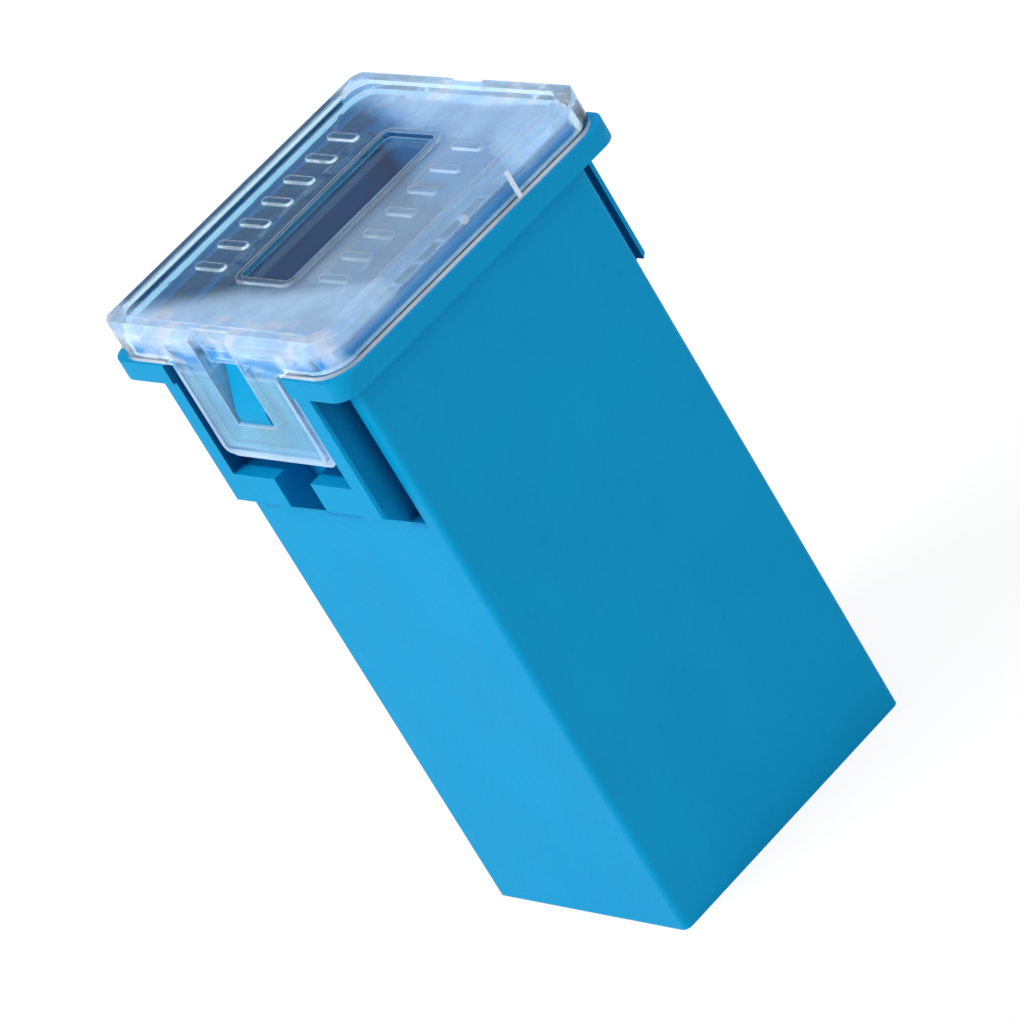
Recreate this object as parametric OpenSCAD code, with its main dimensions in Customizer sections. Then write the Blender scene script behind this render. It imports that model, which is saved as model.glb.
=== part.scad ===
// Female cartridge fuse: an opaque moulded housing, a clear cover held by two latch
// legs, and a one-piece stamped fuse element whose two receptacles take flat tabs from below.
// Upright on its open end: X runs along the wide faces, Y through the thickness, Z up.

/* [Housing] */
// Width of the body across its two narrow faces
body_w = 14.4; // [13:0.1:18]
// Thickness of the body across its two wide faces
body_d = 12.4; // [11.6:0.1:15]
// Height from the open end to the underside of the flange
body_h = 29.5; // [27:0.1:36]
// Thickness of the body's walls
wall = 1.1; // [0.9:0.05:1.2]
// Radius of the body's upright corners
corner_r = 0.35; // [0.2:0.05:0.8]
// Thickness of the partition between the two terminal cells
partition_t = 1; // [0.6:0.1:1.2]
// Width of the ledge that the receptacles stand on in each cell
ledge_w = 0.8; // [0.7:0.05:0.9]
// Height of that ledge above the open end
ledge_h = 1.2; // [0.8:0.1:2]

/* [Flange] */
// Distance that the flange stands out from every face of the body
flange_out = 1.4; // [1.35:0.05:2]
// Thickness of the flange
flange_t = 0.95; // [0.7:0.05:1.5]
// Radius of the flange's corners in plan
flange_r = 1; // [0.8:0.1:2]
// Thickness of the wall of the collar that stands inside the cover
collar_t = 0.9; // [0.7:0.05:1]

/* [Latch pads] */
// Height of the bar that closes a pad below the leg
pad_bar_h = 1.45; // [1:0.05:1.8]
// Distance from a pad's flanks to the wide faces
pad_margin = 1.4; // [1:0.05:2]
// Width of the rim on each side of the channel that the leg lies in
rim_w = 0.9; // [0.65:0.05:1]
// Width of the notch through that bar
notch_w = 2.4; // [1.6:0.1:3]
// Depth that the notch reaches into the body's wall
notch_in = 0.5; // [0.3:0.05:0.6]
// Width of the deep pocket beside each pad, measured on the body's face
pocket_w = 0.6; // [0.3:0.05:0.7]
// Distance that the pocket runs on under the pad's rim
pocket_under = 0.45; // [0.2:0.05:0.5]
// Depth of the pocket into the body's wall
pocket_in = 0.65; // [0.4:0.05:0.7]
// Thickness of the lip that the pocket leaves at the pad's face
pocket_lip = 0.2; // [0.15:0.05:0.4]
// Width of the catch
catch_w = 2; // [1.6:0.1:2.8]
// Distance that the catch is set in from the leg's outer face
catch_set = 0.05; // [0:0.05:0.2]
// Height of the catch's upright face
catch_face = 0.5; // [0.2:0.1:1]
// Height of the catch below the flange's upper face
catch_h = 2.8; // [2:0.1:3.2]

/* [Cover] */
// Distance that the cover's skirt is set in from the flange's edge
cover_inset = 0.15; // [0.1:0.05:0.3]
// Height of the cover above the flange
cover_h = 1.75; // [1.6:0.05:2.6]
// Radius of the cover's corners in plan
cover_r = 1.6; // [1:0.1:2]
// Thickness of the skirt and the top
cover_t = 0.7; // [0.6:0.05:0.75]
// Size of the bevel round the top edge
cover_bevel = 0.3; // [0.1:0.05:0.35]
// Width of the raised border round the top
border_w = 0.75; // [0.5:0.05:1]
// Height of that border
border_h = 0.2; // [0.1:0.05:0.3]
// Length of the sunk viewing pane
pane_l = 9.3; // [6:0.1:10]
// Width of the viewing pane
pane_w = 3.3; // [2.5:0.1:4]
// Radius of the pane's corners in plan
pane_r = 0.3; // [0.1:0.05:0.6]
// Depth that the viewing pane is sunk below the top
pane_in = 0.1; // [0.05:0.05:0.3]
// Depth of the notch that carries each catch slot up the cover's end wall
end_notch_in = 0.45; // [0.2:0.05:0.5]
// Width of the ridge round the viewing pane
ridge_w = 0.3; // [0.2:0.05:0.4]
// Height of the ridge and of the plain bars beside it
ridge_h = 0.12; // [0.08:0.02:0.2]
// Number of plain raised bars in each row beside the pane
bar_count = 7; // [0:1:8]
// Distance between neighbouring bars
bar_pitch = 1.4; // [1:0.1:1.5]
// Length of a bar
bar_l = 1.9; // [1:0.1:2.2]
// Width of a bar
bar_w = 0.4; // [0.3:0.05:0.6]
// Distance from the middle of the top to the middle of a row of bars
row_y = 4.1; // [3.6:0.1:4.5]
// Thickness of a latch leg
leg_t = 0.95; // [0.8:0.05:0.95]
// Length of a latch leg below the flange's upper face
leg_l = 4.9; // [4.2:0.1:5.2]
// Radius of a leg's lower corners
leg_r = 0.7; // [0.6:0.1:2]
// Width of the bevel step along a leg's edge
leg_step_w = 0.3; // [0.2:0.05:0.5]
// Depth of that step
leg_step_d = 0.2; // [0.1:0.05:0.3]

/* [Fuse element] */
// Thickness of the stamped sheet
sheet_t = 0.6; // [0.5:0.05:0.7]
// Width of a receptacle
socket_w = 7.8; // [7:0.1:8.2]
// Depth of a receptacle
socket_d = 3.8; // [3.5:0.1:4]
// Height of a receptacle
socket_h = 17; // [14:0.5:18]
// Length of each inturned lip
lip_l = 2.6; // [2:0.1:2.8]
// Thickness of the tab that a receptacle takes
tab_t = 0.8; // [0.7:0.05:0.9]
// Width of the contact spring
spring_w = 5; // [4:0.1:5.4]
// Thickness of the contact spring
spring_t = 0.4; // [0.3:0.05:0.5]
// Height of the spring's contact above the receptacle's mouth
contact_h = 5; // [4:0.5:7]
// Height of the flat of that contact
contact_flat = 1.5; // [0.5:0.1:2]
// Height of the spring's turned-out toe above the receptacle's mouth
toe_h = 1.5; // [0.5:0.1:2.5]
// Distance that the toe turns out
toe_out = 1; // [0.5:0.1:1.2]
// Length of the spring's root, from the top of the receptacle down
root_l = 2.2; // [1.5:0.1:3]
// Width of the necks above the receptacles
neck_w = 4.4; // [3:0.1:5]
// Distance from the flange's upper face down to the bridge's upper face
bridge_drop = 3.85; // [2:0.05:5]
// Outside radius of the bends at the ends of the bridge
bend_r = 1.2; // [0.9:0.1:1.6]
// Width of the fusible link
link_w = 1.5; // [1:0.1:2]
// Length of the fusible link
link_l = 6; // [5:0.5:7]
// Radius of the round seat for the pellet
seat_r = 1.35; // [1.1:0.05:1.5]
// Radius of the pellet's shank
pellet_r = 0.65; // [0.5:0.05:0.7]
// Radius of the pellet's two heads
pellet_head_r = 0.95; // [0.85:0.05:1]
// Thickness of each head
pellet_head_t = 0.3; // [0.2:0.05:0.4]

/* [Clearances] */
// Gap between a leg's lower end and the floor of its channel
leg_end_gap = 0.9; // [0.6:0.1:1.4]
// Gap between a leg and the pad on each side
leg_side_gap = 0.2; // [0.1:0.05:0.4]
// Gap between a leg and the channel behind it
leg_back_gap = 0.1; // [0.05:0.05:0.2]
// Gap between the cover's skirt and the collar
collar_gap = 0.1; // [0.05:0.05:0.2]
// Gap between the top of the collar and the underside of the cover's top
collar_top_gap = 0.2; // [0.1:0.05:0.4]
// Gap between a receptacle and the outer wall of its cell
socket_gap = 0.2; // [0.1:0.05:0.3]
// Gap between the catch and its slot on each side
catch_side_gap = 0.25; // [0.1:0.05:0.3]
// Gap between the catch and the lower end of its slot
catch_gap = 0.1; // [0.05:0.05:0.2]
// Gap between the partition and the pellet above it
partition_gap = 2.7; // [1:0.1:5]
// Squeeze of a contact spring on its tab
tab_squeeze = 0.1; // [0.05:0.05:0.2]

/* [Hidden] */

$fn = 48;
cut = 1;                                  // how far a cutting shape runs past a face
lap = 0.5;                                // how far a joined shape runs into its neighbour
sliver = 0.01;                            // keeps a fully rounded end from losing its flat

flange_top = body_h + flange_t;
cover_top = flange_top + cover_h;
plate_top = cover_top - border_h;         // upper face of the cover's top plate
plate_z = plate_top - cover_t;            // its lower face
collar_top = plate_z - collar_top_gap;
cell_x = body_w / 2 - wall;               // outer wall of a cell
cell_y = body_d / 2 - wall;
flange_x = body_w / 2 + flange_out;
flange_y = body_d / 2 + flange_out;
cover_x = flange_x - cover_inset;
cover_y = flange_y - cover_inset;
collar_x = cover_x - cover_t - collar_gap;
collar_y = cover_y - cover_t - collar_gap;
pad_out = flange_out - cover_inset;
pad_x = body_w / 2 + pad_out;             // face of a pad, flush with the cover's end
pad_w = body_d - 2 * pad_margin;
leg_back_x = pad_x - leg_t;               // inner face of a leg
channel_x = leg_back_x - leg_back_gap;    // floor of the channel that the leg lies in
channel_w = pad_w - 2 * rim_w;
leg_w = channel_w - 2 * leg_side_gap;
leg_z = flange_top - leg_l;               // lower end of a leg
channel_z = leg_z - leg_end_gap;          // lower end of its channel
pad_z = channel_z - pad_bar_h;            // lower edge of a pad's face
catch_z = flange_top - catch_h;           // lower face of the catch
slot_z = catch_z - catch_gap;             // lower end of the leg's slot
slot_w = catch_w + 2 * catch_side_gap;
socket_x = cell_x - socket_gap;           // outer face of a receptacle
lip_x = socket_x - socket_d;              // inner face of a receptacle
blade_x = lip_x + sheet_t;                // where the tab bears on the lips
contact_x = blade_x + tab_t - tab_squeeze;
bridge_z = flange_top - bridge_drop;      // upper face of the bridge
partition_h = bridge_z - sheet_t - pellet_head_t - partition_gap;
socket_z = ledge_h;
neck_x = socket_x - sheet_t;
socket_top = socket_z + socket_h;
contact_z = socket_z + contact_h;

// A rectangle with round corners, centred
module round_rect(w, d, r) {
  square([w - 2 * r, d], center = true);
  square([w, d - 2 * r], center = true);
  for (x = [-1, 1], y = [-1, 1])
    translate([x * (w / 2 - r), y * (d / 2 - r)]) circle(r);
}

// An upright block with round corners, from z0 up
module round_block(w, d, r, z0, h) {
  translate([0, 0, z0]) linear_extrude(h) round_rect(w, d, r);
}

// The same shape on both narrow sides, drawn for +X
module both_sides() {
  children();
  mirror([1, 0, 0]) children();
}

// A block that runs from x0 to x1, centred on Y
module side_block(x0, x1, w, z0, z1) {
  translate([x0, -w / 2, z0]) cube([x1 - x0, w, z1 - z0]);
}

// A shape drawn in X and Z, spread along Y about the middle
module across(w) {
  translate([0, w / 2, 0]) rotate([90, 0, 0]) linear_extrude(w) children();
}

// Solid pad whose lower end slopes back to the body at 45 degrees
module pad_block() {
  across(pad_w) polygon([
    [cell_x, pad_z - pad_out], [body_w / 2, pad_z - pad_out], [pad_x, pad_z],
    [pad_x, body_h + lap], [cell_x, body_h + lap]
  ]);
}

// Channel for the leg, open through the flange and upwards
module leg_channel() {
  side_block(channel_x, flange_x + cut, channel_w, channel_z, cover_top);
}

// Notch through the bar, up to the lower face of the catch
module bar_notch() {
  notch_x = body_w / 2 - notch_in;
  side_block(notch_x, flange_x + cut, notch_w, pad_z - pad_out, catch_z);
}

// Catch that the leg's slot clips over: a wedge that leads in from the top
module catch_block() {
  face_x = pad_x - catch_set;
  across(catch_w) polygon([
    [cell_x, catch_z], [face_x, catch_z], [face_x, catch_z + catch_face],
    [leg_back_x, flange_top], [cell_x, flange_top]
  ]);
}

// Deep pocket beside a pad, on both of the pad's flanks
module flank_pocket() {
  y0 = pad_w / 2 - pocket_under;
  x0 = body_w / 2 - pocket_in;
  for (y = [-1, 1]) mirror([0, y < 0 ? 1 : 0])
    translate([x0, y0, pad_z - pad_out])
      cube([pad_x - pocket_lip - x0, pocket_under + pocket_w, body_h - pad_z + pad_out]);
}

module terminal_cell() {
  inner_x = partition_t / 2;
  translate([inner_x, -cell_y, ledge_h]) cube([cell_x - inner_x, 2 * cell_y, body_h]);
  translate([inner_x, -cell_y + ledge_w, -cut])
    cube([cell_x - inner_x - ledge_w, 2 * (cell_y - ledge_w), body_h]);
}

module housing() {
  color("#0089c0") difference() {
    union() {
      difference() {
        union() {
          round_block(body_w, body_d, corner_r, 0, flange_top);
          round_block(2 * flange_x, 2 * flange_y, flange_r, body_h, flange_t);
          round_block(2 * collar_x, 2 * collar_y, cover_r - cover_t, body_h, collar_top - body_h);
          both_sides() pad_block();
        }
        both_sides() leg_channel();
        both_sides() bar_notch();
        both_sides() flank_pocket();
        // room inside the collar, down to the body's own cavity
        round_block(2 * (collar_x - collar_t), 2 * (collar_y - collar_t), corner_r, flange_top, cover_h);
      }
      both_sides() catch_block();
    }
    both_sides() terminal_cell();
    // chamber over the partition
    translate([-cell_x, -cell_y, partition_h]) cube([2 * cell_x, 2 * cell_y, cover_top]);
  }
}

// Outline of a leg in Y and Z, shrunk by d on its sides and lower end
module leg_outline(d) {
  w = leg_w / 2 - d;
  r = leg_r - d;
  z0 = leg_z + d;
  translate([-w, z0 + r]) square([2 * w, flange_top + lap - z0 - r]);
  translate([-w + r, z0]) square([2 * (w - r), r + lap]);
  for (y = [-1, 1]) translate([y * (w - r), z0 + r]) circle(r);
}

// A shape drawn in Y and Z, thickened along X from x0 to x1
module upright(x0, x1) {
  translate([x0, 0, 0]) rotate([90, 0, 90]) linear_extrude(x1 - x0) children();
}

module latch_leg() {
  upright(leg_back_x, pad_x - leg_step_d) leg_outline(0);
  upright(leg_back_x, pad_x) leg_outline(leg_step_w);
}

// An outline with bevelled upper edges, as a prism of length l along Y
module bevel_prism(w, l, z0, h, b) {
  across(l) polygon([
    [-w / 2, z0], [w / 2, z0], [w / 2, z0 + h - b], [w / 2 - b, z0 + h],
    [-w / 2 + b, z0 + h], [-w / 2, z0 + h - b]
  ]);
}

module cover_shell() {
  w = 2 * cover_x;
  d = 2 * cover_y;
  difference() {
    intersection() {
      round_block(w, d, cover_r, flange_top, cover_h);
      bevel_prism(w, d, flange_top, cover_h, cover_bevel);
      rotate([0, 0, 90]) bevel_prism(d, w, flange_top, cover_h, cover_bevel);
    }
    round_block(w - 2 * cover_t, d - 2 * cover_t, cover_r - cover_t,
      flange_top - cut, plate_z - flange_top + cut);
    round_block(w - 2 * border_w, d - 2 * border_w, cover_r - border_w, plate_top, cut);
  }
}

// Ridge round the pane and the two rows of plain bars, from inside the top plate up
module top_relief() {
  z0 = plate_top - cover_t / 2;
  h = cover_t / 2 + ridge_h;
  round_block(pane_l + 2 * ridge_w, pane_w + 2 * ridge_w, pane_r + ridge_w, z0, h);
  for (y = [-1, 1], i = [0:1:bar_count - 1])
    translate([(i - (bar_count - 1) / 2) * bar_pitch, y * row_y, 0])
      round_block(bar_w, bar_l, bar_w / 2 - sliver, z0, h);
}

module clear_cover() {
  color([0.8, 0.88, 0.95, 0.5]) difference() {
    union() {
      cover_shell();
      top_relief();
      both_sides() latch_leg();
    }
    // viewing pane
    round_block(pane_l, pane_w, pane_r, plate_top - pane_in, cut);
    // slots over the catches, carried up the end walls as shallow notches
    both_sides() side_block(channel_x, cover_x + cut, slot_w, slot_z, flange_top);
    both_sides() side_block(cover_x - end_notch_in, cover_x + cut, slot_w, flange_top - cut, cover_top + cut);
  }
}

// Section of a receptacle in plan: a back, two sides and two inturned lips
module socket_section() {
  half = socket_w / 2;
  translate([neck_x, -half]) square([sheet_t, socket_w]);
  for (y = [-1, 1]) mirror([0, y < 0 ? 1 : 0]) {
    translate([lip_x, half - sheet_t]) square([socket_d, sheet_t]);
    translate([lip_x, half - lip_l]) square([sheet_t, lip_l]);
  }
}

// Contact spring in X and Z: it leaves the back, bows in to the tab and turns out at its toe
module spring_section() {
  root_x = neck_x + sheet_t / 2;
  root_z = socket_top - root_l;
  toe_z = socket_z + toe_h;
  polygon([
    [root_x, socket_top], [neck_x - spring_t, socket_top], [neck_x - spring_t, root_z],
    [contact_x, contact_z + contact_flat], [contact_x, contact_z], [contact_x + toe_out, toe_z],
    [contact_x + toe_out + spring_t, toe_z], [contact_x + spring_t, contact_z],
    [contact_x + spring_t, contact_z + contact_flat], [neck_x, root_z], [root_x, root_z]
  ]);
}

// Neck, bend and half of the bridge, in X and Z
module neck_section() {
  translate([neck_x, socket_z]) square([sheet_t, bridge_z - bend_r - socket_z]);
  translate([socket_x - bend_r, bridge_z - bend_r]) intersection() {
    difference() {
      circle(bend_r);
      circle(bend_r - sheet_t);
    }
    square(bend_r);
  }
  translate([link_l / 2, bridge_z - sheet_t]) square([socket_x - bend_r - link_l / 2, sheet_t]);
}

module fuse_half() {
  translate([0, 0, socket_z]) linear_extrude(socket_h) socket_section();
  across(spring_w) spring_section();
  across(neck_w) neck_section();
}

module fuse_element() {
  color("silver") difference() {
    union() {
      both_sides() fuse_half();
      translate([0, 0, bridge_z - sheet_t]) linear_extrude(sheet_t) {
        square([link_l + 2 * lap, link_w], center = true);
        circle(seat_r);
      }
    }
    translate([0, 0, bridge_z - sheet_t - cut]) cylinder(r = pellet_r, h = sheet_t + 2 * cut);
  }
}

module tin_pellet() {
  color("lightgray") translate([0, 0, bridge_z - sheet_t - pellet_head_t]) {
    cylinder(r = pellet_head_r, h = pellet_head_t);
    cylinder(r = pellet_r, h = sheet_t + 2 * pellet_head_t);
    translate([0, 0, sheet_t + pellet_head_t]) cylinder(r = pellet_head_r, h = pellet_head_t);
  }
}

housing();
clear_cover();
fuse_element();
tin_pellet();
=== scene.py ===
import math

import bmesh
import bpy
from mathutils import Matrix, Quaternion, Vector


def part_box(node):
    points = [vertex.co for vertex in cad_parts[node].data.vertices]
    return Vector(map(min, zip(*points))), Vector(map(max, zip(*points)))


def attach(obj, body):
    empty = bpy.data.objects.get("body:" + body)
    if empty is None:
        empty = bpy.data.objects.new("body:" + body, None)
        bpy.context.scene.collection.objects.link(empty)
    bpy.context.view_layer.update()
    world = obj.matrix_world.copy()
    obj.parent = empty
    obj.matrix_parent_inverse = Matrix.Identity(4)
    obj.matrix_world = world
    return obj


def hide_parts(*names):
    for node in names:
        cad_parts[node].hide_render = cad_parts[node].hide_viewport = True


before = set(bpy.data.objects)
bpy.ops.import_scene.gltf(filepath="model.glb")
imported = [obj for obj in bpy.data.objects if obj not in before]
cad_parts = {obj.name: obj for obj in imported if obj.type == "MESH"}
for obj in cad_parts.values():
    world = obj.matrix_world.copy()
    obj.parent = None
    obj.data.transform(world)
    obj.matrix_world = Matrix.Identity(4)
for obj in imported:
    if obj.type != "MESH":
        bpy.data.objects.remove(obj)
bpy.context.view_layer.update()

MM = 0.001

# ---------------------------------------------------------------- part values, mm
BODY_X = 7.2  # half the body's width
CELL_IN = 2.4  # from the flange's edge in to the cells, clear of their walls
COLLAR_IN_X = 1.80  # the same for the collar's opening, at its ends
COLLAR_IN_Y = 1.76  # and at its long sides
COLLAR_DEEP = 1.2  # the collar's wider opening starts this far below its top
LEG_HALF = 3.7  # half the width of a latch leg
LEG_R = 0.7  # radius of its lower corners
CHANNEL_HALF = 3.9  # half the width of the channel that a leg lies in
LEG_END_GAP = 0.9  # from the end of a leg to the end of its channel
END_SHADE_X = 7.9  # the leg's shade on the channel's end reaches out to here
PAD_X = 8.45  # from the middle to the face of a latch pad
NOTCH_HALF = 1.2  # half the width of the notch below a leg
POCKET_Y = (4.3, 5.46)  # across a flank pocket
POCKET_X = 8.3  # from the middle to the lip of a pocket
SUNK_REACH = 4.0  # the shaded recesses lie this near to the height of a leg's end
PANE_HALF = Vector((4.65, 1.65))  # half the size of the sunk pane
SKIRT_H = 1.75  # from the cover's top to the foot of its skirt

# ---------------------------------------------------------------- skins
SHARP = math.radians(35)  # edges sharper than this are rounded
FLAT = math.radians(0.5)  # faces nearer than this to one plane are joined
WELD = 0.0005 * MM  # points nearer than this are one

# ---------------------------------------------------------------- camera and lamps
CAM_AZ = -29.57  # degrees round from the wide front face towards the left end
CAM_EL = 27.16
CAM_ROLL = 31.3  # the fuse is shown leaning, so the camera is turned
CAM_DIST = 320 * MM
CAM_LENS = 274.1
CAM_AIM = Vector((-0.33, 0.33, 16.24)) * MM
LAMP_AIM = Vector((0, 0, 18)) * MM


def rgb(r, g, b):
    return (r, g, b, 1.0)


# ---------------------------------------------------------------- colours, linear
BLUE = rgb(0.0, 0.232, 0.452), rgb(0.0, 0.243, 0.470)
BLUE_FLOW = rgb(0.002, 0.262, 0.500)
BLUE_SPECK = rgb(0.0, 0.200, 0.400)
# edge wear, with a painted highlight along the edges
BLUE_WEAR_AND_HIGHLIGHT = rgb(0.004, 0.30, 0.56)
# painted shade: inside the cells and collar, at the brim under the cover, round the legs, in
# notches and pockets, and in creases
BLUE_SHADE_INSIDE = rgb(0.0, 0.108, 0.215)
BLUE_SHADE_BRIM = rgb(0.0, 0.075, 0.160)
BLUE_LEG_SHADE = rgb(0.0, 0.045, 0.150)
BLUE_SHADE_SUNK = rgb(0.0, 0.070, 0.310)
BLUE_CREASE_SHADE = rgb(0.0, 0.075, 0.25)

CLEAR = rgb(0.48, 0.78, 0.94), rgb(0.56, 0.83, 0.96)
CLEAR_LEG = rgb(0.25, 0.56, 0.70)
# painted highlight on the legs' rims
CLEAR_RIM_HIGHLIGHT = rgb(0.40, 0.59, 0.78)
# painted shade in the legs' grooves, darker on the far side
CLEAR_GROOVE_SHADE = rgb(0.07, 0.17, 0.32)
# milky haze that also stands in for painted glare
CLEAR_MILKY_AND_GLARE = rgb(0.52, 0.74, 0.97)
# edge wear with a painted highlight
CLEAR_WEAR_AND_HIGHLIGHT = rgb(0.84, 0.92, 0.97)
CLEAR_FOOT = rgb(0.88, 0.92, 0.95)
CLEAR_BLOTCH = rgb(0.74, 0.82, 0.93)
# painted shade on the sunk pane's walls
CLEAR_PANE_WALL_SHADE = rgb(0.001, 0.02, 0.07)
CLEAR_GLINT = rgb(0.55, 0.78, 0.95)
CLEAR_SHADOW = rgb(0.62, 0.74, 0.86)

MILKY = rgb(0.70, 0.80, 0.90), rgb(0.82, 0.89, 0.95)
SHEET = rgb(0.72, 0.71, 0.67), rgb(0.55, 0.55, 0.53)
SHEET_RUBBED = rgb(0.82, 0.80, 0.76)
TIN = rgb(0.60, 0.61, 0.62), rgb(0.46, 0.47, 0.49)

FLOOR = rgb(0.84, 0.84, 0.84), rgb(0.86, 0.86, 0.86)
FLOOR_GLOW = rgb(1, 1, 1)
SOFT_LIGHT = rgb(0.96, 0.98, 1.0)
BACKDROP = rgb(0.8, 0.8, 0.8)


# ---------------------------------------------------------------- node helpers
class Nodes:
    """A short way to write shader nodes. A value is a node's output or a plain number."""

    def __init__(self, tree, output):
        self.tree = tree
        tree.nodes.clear()
        self.out = self.add(output)

    def add(self, kind):
        return self.tree.nodes.new(kind)

    def link(self, a, b):
        self.tree.links.new(a, b)

    def put(self, socket, value):
        if isinstance(value, bpy.types.NodeSocket):
            self.link(value, socket)
        else:
            socket.default_value = value

    def math(self, op, a, b=None, clamp=False):
        n = self.add("ShaderNodeMath")
        n.operation = op
        n.use_clamp = clamp
        for socket, value in zip(n.inputs, (a, b)):
            if value is not None:
                self.put(socket, value)
        return n.outputs[0]

    def times(self, first, *rest):
        for value in rest:
            first = self.math("MULTIPLY", first, value)
        return first

    def most(self, first, *rest):
        for value in rest:
            first = self.math("MAXIMUM", first, value)
        return first

    def mix_shaders(self, fac, a, b):
        n = self.add("ShaderNodeMixShader")
        self.link(fac, n.inputs[0])
        self.link(a.outputs[0], n.inputs[1])
        self.link(b.outputs[0], n.inputs[2])
        return n

    def finish(self, shader):
        self.link(shader.outputs[0], self.out.inputs["Surface"])


class Material(Nodes):
    """A new material. Its coordinates are the part's own, in millimetres."""

    def __init__(self, name):
        self.mat = bpy.data.materials.new(name)
        self.mat.use_nodes = True
        super().__init__(self.mat.node_tree, "ShaderNodeOutputMaterial")
        coord = self.add("ShaderNodeTexCoord")
        scale = self.add("ShaderNodeMapping")
        scale.inputs["Scale"].default_value = (1 / MM, 1 / MM, 1 / MM)
        self.link(coord.outputs["Object"], scale.inputs["Vector"])
        self.mm = scale.outputs["Vector"]

    def xyz(self):
        n = self.add("ShaderNodeSeparateXYZ")
        self.link(self.mm, n.inputs[0])
        return n.outputs

    def noise(self, scale, detail=3.0, rough=0.5, stretch=None):
        v = self.mm
        if stretch:
            m = self.add("ShaderNodeMapping")
            m.inputs["Scale"].default_value = stretch
            self.link(v, m.inputs["Vector"])
            v = m.outputs["Vector"]
        n = self.add("ShaderNodeTexNoise")
        n.inputs["Scale"].default_value = scale
        n.inputs["Detail"].default_value = detail
        n.inputs["Roughness"].default_value = rough
        self.link(v, n.inputs["Vector"])
        return n.outputs["Fac"]

    def span(self, x, a, b, lo=0.0, hi=1.0, smooth=True):
        """x from a to b becomes lo to hi, and stays there outside."""
        n = self.add("ShaderNodeMapRange")
        n.interpolation_type = "SMOOTHSTEP" if smooth else "LINEAR"
        for name, value in (
            ("Value", x),
            ("From Min", a),
            ("From Max", b),
            ("To Min", lo),
            ("To Max", hi),
        ):
            self.put(n.inputs[name], value)
        return n.outputs["Result"]

    def within(self, x, edge, soft, smooth=True):
        """1 where x lies nearer to 0 than edge, on either side. The change is soft wide."""
        return self.span(self.math("ABSOLUTE", x), edge, edge - soft, smooth=smooth)

    def beyond(self, x, edge, soft):
        """1 where x lies further from 0 than edge + soft, on either side."""
        return self.span(self.math("ABSOLUTE", x), edge, edge + soft)

    def mix(self, fac, a, b):
        n = self.add("ShaderNodeMix")
        n.data_type = "RGBA"
        self.put(n.inputs[0], fac)
        self.put(n.inputs[6], a)
        self.put(n.inputs[7], b)
        return n.outputs[2]

    def bump(self, height, strength, distance, under=None):
        n = self.add("ShaderNodeBump")
        n.inputs["Strength"].default_value = strength
        n.inputs["Distance"].default_value = distance
        self.link(height, n.inputs["Height"])
        if under:
            self.link(under, n.inputs["Normal"])
        return n.outputs["Normal"]

    def normal(self):
        return self.add("ShaderNodeNewGeometry").outputs["Normal"]

    def edges(self, radius):
        """1 along convex and concave edges, 0 on flats."""
        b = self.add("ShaderNodeBevel")
        b.samples = 6
        b.inputs["Radius"].default_value = radius
        d = self.add("ShaderNodeVectorMath")
        d.operation = "DOT_PRODUCT"
        self.link(b.outputs["Normal"], d.inputs[0])
        self.link(self.normal(), d.inputs[1])
        return self.span(d.outputs["Value"], 0.995, 0.8)

    def principled(self, **values):
        n = self.add("ShaderNodeBsdfPrincipled")
        for name, value in values.items():
            self.put(n.inputs[name.replace("_", " ")], value)
        return n


# ---------------------------------------------------------------- materials
def painted_shade_places(t, box, leg_z):
    """Masks of painted shade in the blue: inside, at the brim under the cover, round the legs,
    in notches and pockets.
    """
    x, y, z = t.xyz()
    down = t.math("SUBTRACT", box[1].z / MM, z)
    half_x, half_y = box[1].x / MM, box[1].y / MM
    cells = t.times(
        t.within(x, half_x - CELL_IN, 0.06, smooth=False),
        t.within(y, half_y - CELL_IN, 0.06, smooth=False),
    )
    collar = t.times(
        t.span(down, COLLAR_DEEP, COLLAR_DEEP - 0.1, smooth=False),
        t.within(x, half_x - COLLAR_IN_X, 0.05, smooth=False),
        t.within(y, half_y - COLLAR_IN_Y, 0.04, smooth=False),
    )
    # painted shade inside the cells and the collar's opening
    inside = t.most(cells, collar)
    # painted shade on the housing's top, under the cover's plate
    brim = t.span(down, 0.12, 0.02)

    # painted shade: the leg's shadow in the gaps below and beside it, and on the back of the
    # channel's end
    leg_down = t.math("SUBTRACT", leg_z, z)
    under_leg = t.span(leg_down, -0.2, 0.0)
    below = t.times(under_leg, t.within(y, CHANNEL_HALF + 0.03, 0.03))
    beside = t.times(t.beyond(y, LEG_HALF + 0.05, 0.05), t.within(y, CHANNEL_HALF + 0.03, 0.02))
    end_back = t.times(
        t.span(leg_down, LEG_END_GAP + 0.04, LEG_END_GAP),
        t.within(x, END_SHADE_X, 0.16),
    )
    # painted shadow of the leg
    leg_shade = t.times(
        t.most(below, beside),
        t.most(t.span(leg_down, LEG_END_GAP - 0.02, LEG_END_GAP - 0.10), end_back),
        t.beyond(x, BODY_X, 0.1),
    )

    # painted shade in the notch below a leg and in the flank pockets
    notch = t.times(
        under_leg,
        t.within(y, NOTCH_HALF + 0.04, 0.03),
        t.within(x, PAD_X - 0.02, 0.05),
    )
    pocket = t.times(
        t.beyond(y, POCKET_Y[0], 0.06),
        t.within(y, POCKET_Y[1], 0.04),
        t.within(x, POCKET_X, 0.06),
        t.span(leg_down, -SUNK_REACH, 0.1 - SUNK_REACH, 0.0, 0.7),
    )
    sunk_shade = t.times(t.most(notch, pocket), t.span(leg_down, SUNK_REACH, SUNK_REACH - 0.4))
    return inside, brim, leg_shade, sunk_shade


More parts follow.
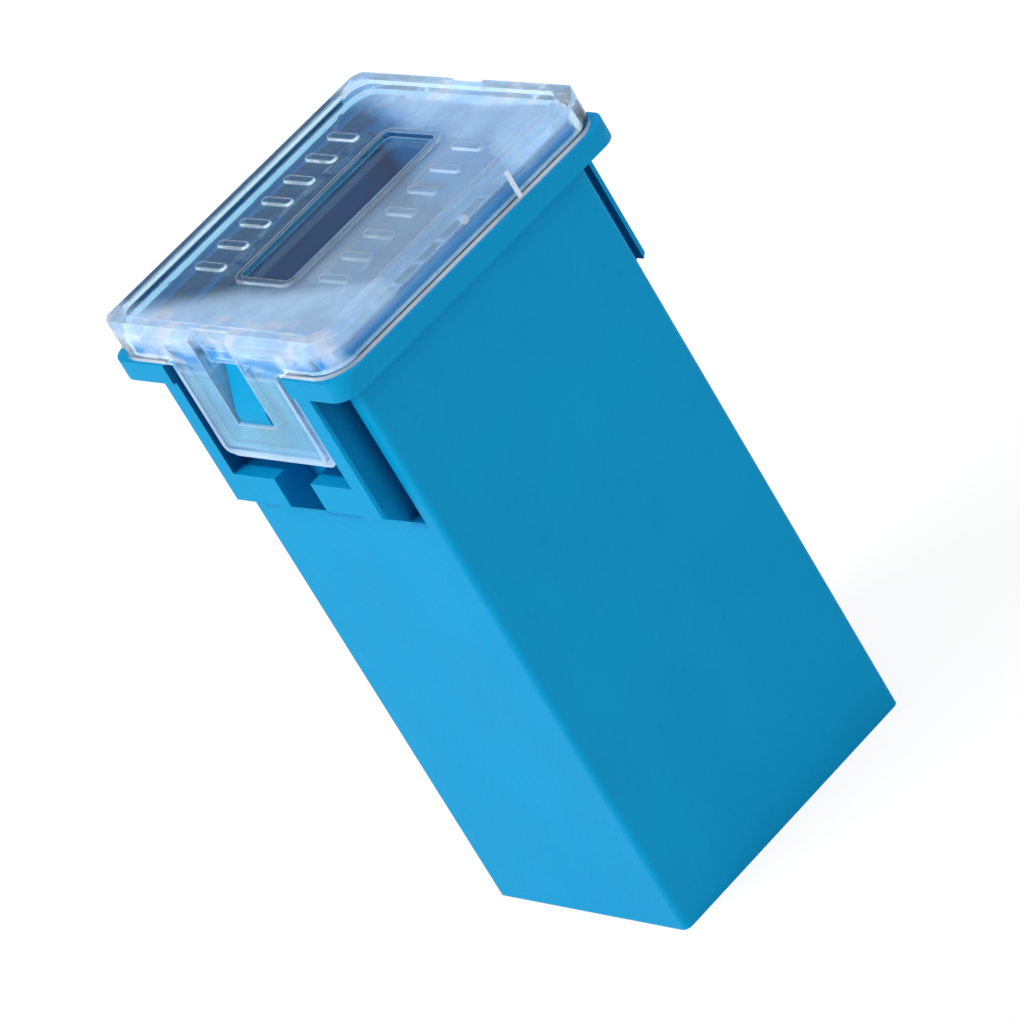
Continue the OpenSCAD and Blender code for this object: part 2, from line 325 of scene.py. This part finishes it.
def moulded_blue(box, cover_box):
    """Opaque dyed plastic: mould grain, faint flow marks, edges lightened for wear and a
    painted highlight, and painted shade inside, at the brim, round the legs, in notches,
    pockets and creases.
    """
    t = Material("moulded_blue")
    inside, brim, leg_shade, sunk_shade = painted_shade_places(t, box, cover_box[0].z / MM)
    drift = t.noise(0.16, 2.0)
    flow = t.noise(0.5, 4.0, 0.6, stretch=(1.0, 1.0, 0.18))
    grain = t.noise(9.0, 3.0, 0.6)
    speck = t.noise(3.2, 2.0, 0.7)
    # painted shade in creases and corners, from ambient occlusion
    crease_shade = t.add("ShaderNodeAmbientOcclusion")
    crease_shade.samples = 8
    crease_shade.only_local = True
    crease_shade.inputs["Distance"].default_value = 1.3 * MM

    colour = t.mix(t.span(drift, 0.35, 0.65), *BLUE)
    for amount, tone in (
        (t.span(flow, 0.45, 0.75, 0, 0.3), BLUE_FLOW),
        (t.span(speck, 0.56, 0.72, 0, 0.3), BLUE_SPECK),
        # edges lightened for wear and a painted highlight
        (t.times(t.edges(0.12 * MM), 0.35), BLUE_WEAR_AND_HIGHLIGHT),
        # painted shade inside and at the brim
        (t.times(inside, 0.9), BLUE_SHADE_INSIDE),
        (t.times(brim, 0.9), BLUE_SHADE_BRIM),
        # painted shadow of the leg in its gaps
        (t.times(leg_shade, 0.85), BLUE_LEG_SHADE),
        # painted shade in the notches and pockets
        (t.times(sunk_shade, 0.45), BLUE_SHADE_SUNK),
        # painted crease shade
        (t.span(crease_shade.outputs["AO"], 0.25, 0.75, 0.7, 0), BLUE_CREASE_SHADE),
    ):
        colour = t.mix(amount, colour, tone)

    rough = t.math(
        "ADD", t.span(grain, 0.3, 0.7, 0.46, 0.56), t.span(flow, 0.3, 0.7, -0.03, 0.03)
    )
    sinks = t.bump(t.noise(0.22, 2.0), 0.15, 0.03 * MM)
    normal = t.bump(grain, 0.5, 0.006 * MM, sinks)
    p = t.principled(Base_Color=colour, Roughness=rough, Normal=normal, Specular_IOR_Level=0.07)
    t.finish(p)
    return t.mat


def leg_outline(t, y, z, leg_z):
    """How far a point lies outside a leg's rounded outline, in mm. It is negative inside."""
    side = t.math("SUBTRACT", t.math("ABSOLUTE", y), LEG_HALF - LEG_R)
    end = t.math("SUBTRACT", leg_z + LEG_R, z)
    corner = t.math(
        "ADD",
        t.math("POWER", t.most(side, 0.0), 2.0),
        t.math("POWER", t.most(end, 0.0), 2.0),
    )
    straight = t.math("MINIMUM", t.most(side, end), 0.0)
    return t.math("ADD", straight, t.math("SUBTRACT", t.math("SQRT", corner), LEG_R))


def clear_plastic(cover_box):
    """Clear moulding: polished, hazed beside the pane and at the ends, partly by painted glare,
    with fine scratches, painted highlights on its edges and the legs' rims, and painted shade
    in the legs' grooves and on the pane's walls.
    """
    t = Material("clear_plastic")
    x, y, z = t.xyz()
    down = t.math("SUBTRACT", cover_box[1].z / MM, z)
    cloud = t.noise(0.35, 4.0, 0.6)
    fine = t.noise(5.0, 3.0, 0.6)
    scratch = t.noise(2.0, 2.0, 0.5, stretch=(0.35, 6.0, 1.0))

    # fields of haze with ragged borders, partly real milkiness and partly painted glare: along
    # the near side and at both ends
    wisp = t.times(t.math("SUBTRACT", cloud, 0.5), 2.2)
    ragged_x = t.math("ADD", x, wisp)
    ragged_y = t.math("ADD", y, t.times(wisp, 0.4))
    slant = t.times(y, 0.25)
    milky_glare = t.most(
        t.span(ragged_y, -1.4, -2.4, 0.0, 0.24),
        t.span(t.math("ADD", ragged_x, slant), -4.6, -6.2, 0.0, 0.46),
        t.span(t.math("SUBTRACT", ragged_x, slant), 4.3, 6.4, 0.0, 0.44),
    )
    milky_glare = t.times(milky_glare, t.span(down, 1.3, 0.5))

    # upright faces, and those of the sunk pane, whose walls get painted shade
    tilt = t.add("ShaderNodeSeparateXYZ")
    t.link(t.normal(), tilt.inputs[0])
    wall = t.span(tilt.outputs["Z"], 0.7, 0.4)
    pane = t.times(
        wall,
        t.within(x, PANE_HALF.x + 0.1, 0.05),
        t.within(y, PANE_HALF.y + 0.1, 0.05),
        t.span(down, 0.7, 0.6),
    )

    # the legs: a tint of their own, a pale rim that is a painted highlight, and a groove whose
    # painted shade is darker on the far side
    leg = t.span(down, SKIRT_H + 0.25, SKIRT_H + 0.45)
    edge = leg_outline(t, y, z, cover_box[0].z / MM)
    rim_highlight = t.times(leg, t.span(edge, -0.58, -0.52))
    groove_shade = t.times(
        leg,
        t.span(edge, -0.76, -0.66),
        t.span(edge, -0.54, -0.60),
        t.span(y, 0.0, 2.4, 0.2, 1.0),
    )

    # the foot of the skirt, apart from where it runs into a leg
    foot = t.times(
        t.span(down, SKIRT_H - 0.25, SKIRT_H - 0.11),
        t.span(down, SKIRT_H + 0.05, SKIRT_H + 0.01),
        t.most(t.beyond(y, LEG_HALF, 0.1), t.within(x, BODY_X + 0.2, 0.1)),
    )

    # edge wear with a painted highlight, less on the pane's walls
    rubbed = t.times(t.edges(0.2 * MM), t.span(pane, 0.0, 1.0, 1.0, 0.25))
    ends = t.times(t.beyond(x, 6.4, 1.0), t.span(down, 1.7, 1.4))
    blotch = t.times(ends, t.span(t.noise(0.8, 1.5, 0.45), 0.42, 0.68, 0.0, 0.42))

    haze = t.most(
        milky_glare,
        t.span(down, SKIRT_H + 0.45, SKIRT_H - 0.05, 0.35, 0.0),
        t.times(foot, 0.6),
        t.times(wall, 0.05),
        # the rims' painted highlight, the grooves' painted shade and the edges' wear and
        # painted highlight also set haze here
        t.times(rim_highlight, 0.5),
        t.times(groove_shade, 0.8),
        t.times(rubbed, 0.4),
    )
    haze = t.most(t.times(haze, t.span(cloud, 0.3, 0.7, 0.8, 1.15)), blotch)
    clear = t.math("SUBTRACT", 1.0, haze, clamp=True)

    colour = t.mix(t.span(cloud, 0.3, 0.7), *CLEAR)
    for amount, tone in (
        (leg, CLEAR_LEG),
        # painted highlight on the legs' rims
        (rim_highlight, CLEAR_RIM_HIGHLIGHT),
        # milky haze and painted glare
        (t.span(milky_glare, 0.0, 0.2), CLEAR_MILKY_AND_GLARE),
        # edge wear with a painted highlight
        (t.times(rubbed, 0.8), CLEAR_WEAR_AND_HIGHLIGHT),
        (foot, CLEAR_FOOT),
        # painted shade in the legs' grooves
        (groove_shade, CLEAR_GROOVE_SHADE),
        (t.span(blotch, 0.0, 0.4), CLEAR_BLOTCH),
        # painted shade on the pane's walls
        (pane, CLEAR_PANE_WALL_SHADE),
    ):
        colour = t.mix(amount, colour, tone)

    rough = t.math(
        "ADD", t.span(fine, 0.3, 0.75, 0.03, 0.11), t.span(scratch, 0.6, 0.75, 0, 0.10)
    )
    waves = t.bump(cloud, 0.5, 0.04 * MM)
    p = t.principled(
        Base_Color=colour,
        Roughness=rough,
        Normal=t.bump(scratch, 0.25, 0.004 * MM, waves),
        IOR=1.30,
        Transmission_Weight=clear,
        Specular_Tint=CLEAR_GLINT,
    )
    # shadow rays pass straight through, so that the inside is lit
    through = t.add("ShaderNodeBsdfTransparent")
    through.inputs["Color"].default_value = CLEAR_SHADOW
    path = t.add("ShaderNodeLightPath")
    t.finish(t.mix_shaders(path.outputs["Is Shadow Ray"], p, through))
    return t.mat


def milky_plastic(name, through):
    """The cover's own plastic where it is rough or stressed, so that it looks white."""
    t = Material(name)
    cloud = t.noise(3.0, 3.0, 0.6)
    p = t.principled(
        Base_Color=t.mix(t.span(cloud, 0.3, 0.7), *MILKY),
        Roughness=t.span(t.noise(8.0, 2.0), 0.3, 0.7, 0.30, 0.45),
        Normal=t.bump(cloud, 0.4, 0.02 * MM),
        Transmission_Weight=through,
    )
    t.finish(p)
    return t.mat


def tinned_sheet():
    """Tin-plated strip: rolling lines, dull spots and rubbed edges."""
    t = Material("tinned_sheet")
    lines = t.noise(4.0, 3.0, 0.6, stretch=(5.0, 5.0, 0.25))
    stain = t.noise(0.6, 4.0, 0.6)
    colour = t.mix(t.span(stain, 0.35, 0.7), *SHEET)
    colour = t.mix(t.times(t.edges(0.1 * MM), 0.5), colour, SHEET_RUBBED)
    rough = t.math("ADD", t.span(lines, 0.3, 0.7, 0.26, 0.4), t.span(stain, 0.4, 0.7, 0, 0.12))
    normal = t.bump(lines, 0.4, 0.003 * MM)
    t.finish(t.principled(Base_Color=colour, Roughness=rough, Normal=normal, Metallic=1.0))
    return t.mat


def tin():
    """Cast tin: soft, dull and slightly lumpy."""
    t = Material("tin")
    lump = t.noise(2.2, 3.0, 0.55)
    p = t.principled(
        Base_Color=t.mix(t.span(lump, 0.3, 0.7), *TIN),
        Roughness=t.span(t.noise(12.0, 2.0, 0.6), 0.3, 0.7, 0.4, 0.55),
        Normal=t.bump(lump, 0.6, 0.05 * MM),
        Metallic=1.0,
    )
    t.finish(p)
    return t.mat


# ---------------------------------------------------------------- pieces
def new_object(name, data):
    obj = bpy.data.objects.new(name, data)
    bpy.context.scene.collection.objects.link(obj)
    return obj


def detailed(node, name, material, edge, segments=2):
    """A copy of the CAD node's mesh with its crisp edges rounded, standing for the node."""
    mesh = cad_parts[node].data.copy()
    bm = bmesh.new()
    bm.from_mesh(mesh)
    bmesh.ops.remove_doubles(bm, verts=bm.verts, dist=WELD)
    bmesh.ops.dissolve_limit(bm, angle_limit=FLAT, verts=bm.verts, edges=bm.edges)
    # the bevel turns a joined face with holes inside out, so it gets triangles
    bmesh.ops.triangulate(bm, faces=bm.faces[:])
    bm.to_mesh(mesh)
    bm.free()
    mesh.materials.clear()
    mesh.materials.append(material)
    for f in mesh.polygons:
        f.use_smooth = True
    obj = new_object(name, mesh)
    bevel = obj.modifiers.new("edges", "BEVEL")
    bevel.width = edge
    bevel.segments = segments
    bevel.limit_method = "ANGLE"
    bevel.angle_limit = SHARP
    bevel.miter_outer = "MITER_ARC"
    even = obj.modifiers.new("even", "WEIGHTED_NORMAL")
    even.weight = 100
    even.keep_sharp = True
    with bpy.context.temp_override(object=obj, active_object=obj, selected_objects=[obj]):
        bpy.ops.object.modifier_apply(modifier="edges")
        obj.data.set_sharp_from_angle(angle=SHARP)
        bpy.ops.object.modifier_apply(modifier="even")
    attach(obj, "root")
    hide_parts(node)
    return obj


housing = detailed(
    "housing",
    "housing_skin",
    moulded_blue(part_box("housing"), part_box("clear_cover")),
    0.10 * MM,
)
detailed(
    "clear_cover",
    "cover_skin",
    clear_plastic(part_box("clear_cover")),
    0.07 * MM,
)
detailed("fuse_element", "element_skin", tinned_sheet(), 0.06 * MM)
detailed("tin_pellet", "pellet_skin", tin(), 0.08 * MM, segments=3)


cover_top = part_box("clear_cover")[1].z


def wall_mark(name, x, down, size, material, sides=0):
    """A small raised mould mark on the cover's front wall: a bar, or a disc if it has sides.

    x is from the fuse's middle, down is from the cover's top, size is width, thickness, height.
    """
    wide, thick, tall = size
    taper = 0.8  # outer width of the disc, as a share of the inner
    rounding, out = 0.3, 0.3  # a bar's edges and the mark's middle, as shares of its thickness
    bm = bmesh.new()
    if sides:
        bmesh.ops.create_cone(
            bm,
            cap_ends=True,
            segments=sides,
            radius1=wide / 2,
            radius2=wide / 2 * taper,
            depth=thick,
        )
        forward = Quaternion((1, 0, 0), math.pi / 2)
        bmesh.ops.rotate(bm, verts=bm.verts, matrix=forward.to_matrix())
    else:
        bmesh.ops.create_cube(bm, size=1.0)
        bmesh.ops.scale(bm, vec=size, verts=bm.verts)
        bmesh.ops.bevel(
            bm, geom=bm.edges[:], offset=thick * rounding, segments=2, affect="EDGES"
        )
    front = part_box("clear_cover")[0].y
    bmesh.ops.translate(bm, verts=bm.verts, vec=(x, front - thick * out, cover_top - down))
    mesh = bpy.data.meshes.new(name)
    bm.to_mesh(mesh)
    bm.free()
    mesh.materials.append(material)
    obj = new_object(name, mesh)
    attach(obj, "root")


wall_mark(
    "gate_line",
    3.1 * MM,
    1.0 * MM,
    Vector((0.22, 0.1, 1.3)) * MM,
    milky_plastic("gate_white", 0.3),
)
wall_mark(
    "pin_mark",
    0.35 * MM,
    0.57 * MM,
    Vector((0.45, 0.08, 0.45)) * MM,
    milky_plastic("pin_milky", 0.6),
    sides=32,
)


# ---------------------------------------------------------------- stage
def floor():
    """Pale floor. Light passes it from below and under the fuse, so the open end is lit."""
    inset = 0.1  # mm, keeps the clear field within the fuse's outline
    t = Material("pale_floor")
    x, y, _ = t.xyz()
    low = [v.co for v in housing.data.vertices if v.co.z < MM]
    under = t.times(
        t.math("LESS_THAN", t.math("ABSOLUTE", x), max(v.x for v in low) / MM - inset),
        t.math("LESS_THAN", t.math("ABSOLUTE", y), max(v.y for v in low) / MM - inset),
    )
    diffuse = t.add("ShaderNodeBsdfDiffuse")
    t.link(t.mix(t.noise(0.02, 2.0), *FLOOR), diffuse.inputs["Color"])
    glow = t.add("ShaderNodeEmission")
    glow.inputs["Color"].default_value = FLOOR_GLOW
    glow.inputs["Strength"].default_value = 1.05
    path = t.add("ShaderNodeLightPath")
    seen = t.most(
        path.outputs["Is Camera Ray"],
        path.outputs["Is Transmission Ray"],
        path.outputs["Is Glossy Ray"],
    )
    # the rest of what is seen is the diffuse floor, which keeps the fuse's shadow
    lit = t.mix_shaders(t.times(seen, 0.82), diffuse, glow)
    side = t.add("ShaderNodeNewGeometry")
    clear = t.add("ShaderNodeBsdfTransparent")
    t.finish(t.mix_shaders(t.most(side.outputs["Backfacing"], under), lit, clear))
    bpy.ops.mesh.primitive_plane_add(size=4.0, location=(0, 0, -0.02 * MM))
    obj = bpy.context.object
    obj.name = "floor"
    obj.data.materials.append(t.mat)


def lamp(name, direction, distance, size, power):
    """A square lamp that faces the fuse. Lengths are in metres and power is in watts."""
    data = bpy.data.lights.new(name, "AREA")
    data.shape = "SQUARE"
    data.size = size
    data.energy = power
    way = Vector(direction).normalized()
    obj = new_object(name, data)
    obj.location = LAMP_AIM + way * distance
    obj.rotation_mode = "QUATERNION"
    obj.rotation_quaternion = way.to_track_quat("Z", "Y")


def surroundings():
    """Soft light from all round. The camera and the clear cover see a paler backdrop."""
    world = bpy.data.worlds.new("studio")
    bpy.context.scene.world = world
    world.use_nodes = True
    t = Nodes(world.node_tree, "ShaderNodeOutputWorld")
    soft, pale = t.add("ShaderNodeBackground"), t.add("ShaderNodeBackground")
    soft.inputs["Color"].default_value = SOFT_LIGHT
    soft.inputs["Strength"].default_value = 0.50
    pale.inputs["Color"].default_value = BACKDROP
    pale.inputs["Strength"].default_value = 1.0
    path = t.add("ShaderNodeLightPath")
    seen = t.most(
        path.outputs["Is Camera Ray"],
        path.outputs["Is Transmission Ray"],
        t.times(path.outputs["Is Glossy Ray"], 0.25),
    )
    t.finish(t.mix_shaders(seen, soft, pale))


def camera():
    """The photo's view."""
    data = bpy.data.cameras.new("camera")
    data.lens = CAM_LENS
    data.sensor_width = 36.0
    data.clip_start = 0.01
    data.clip_end = 20.0
    azimuth, elevation = math.radians(CAM_AZ), math.radians(CAM_EL)
    back = Vector(
        (
            math.sin(azimuth) * math.cos(elevation),
            -math.cos(azimuth) * math.cos(elevation),
            math.sin(elevation),
        )
    )
    turn = Quaternion((0, 0, 1), -math.radians(CAM_ROLL))
    cam = new_object("camera", data)
    cam.location = CAM_AIM + back * CAM_DIST
    cam.rotation_mode = "QUATERNION"
    cam.rotation_quaternion = (-back).to_track_quat("-Z", "Y") @ turn
    bpy.context.scene.camera = cam


floor()
lamp("key", (-1.0, 0.35, 0.75), 0.5, 0.30, 2.75)
lamp("fill", (0.15, -1.0, 0.55), 0.6, 0.45, 1.4)
surroundings()
camera()

bpy.context.scene.view_settings.view_transform = "Standard"
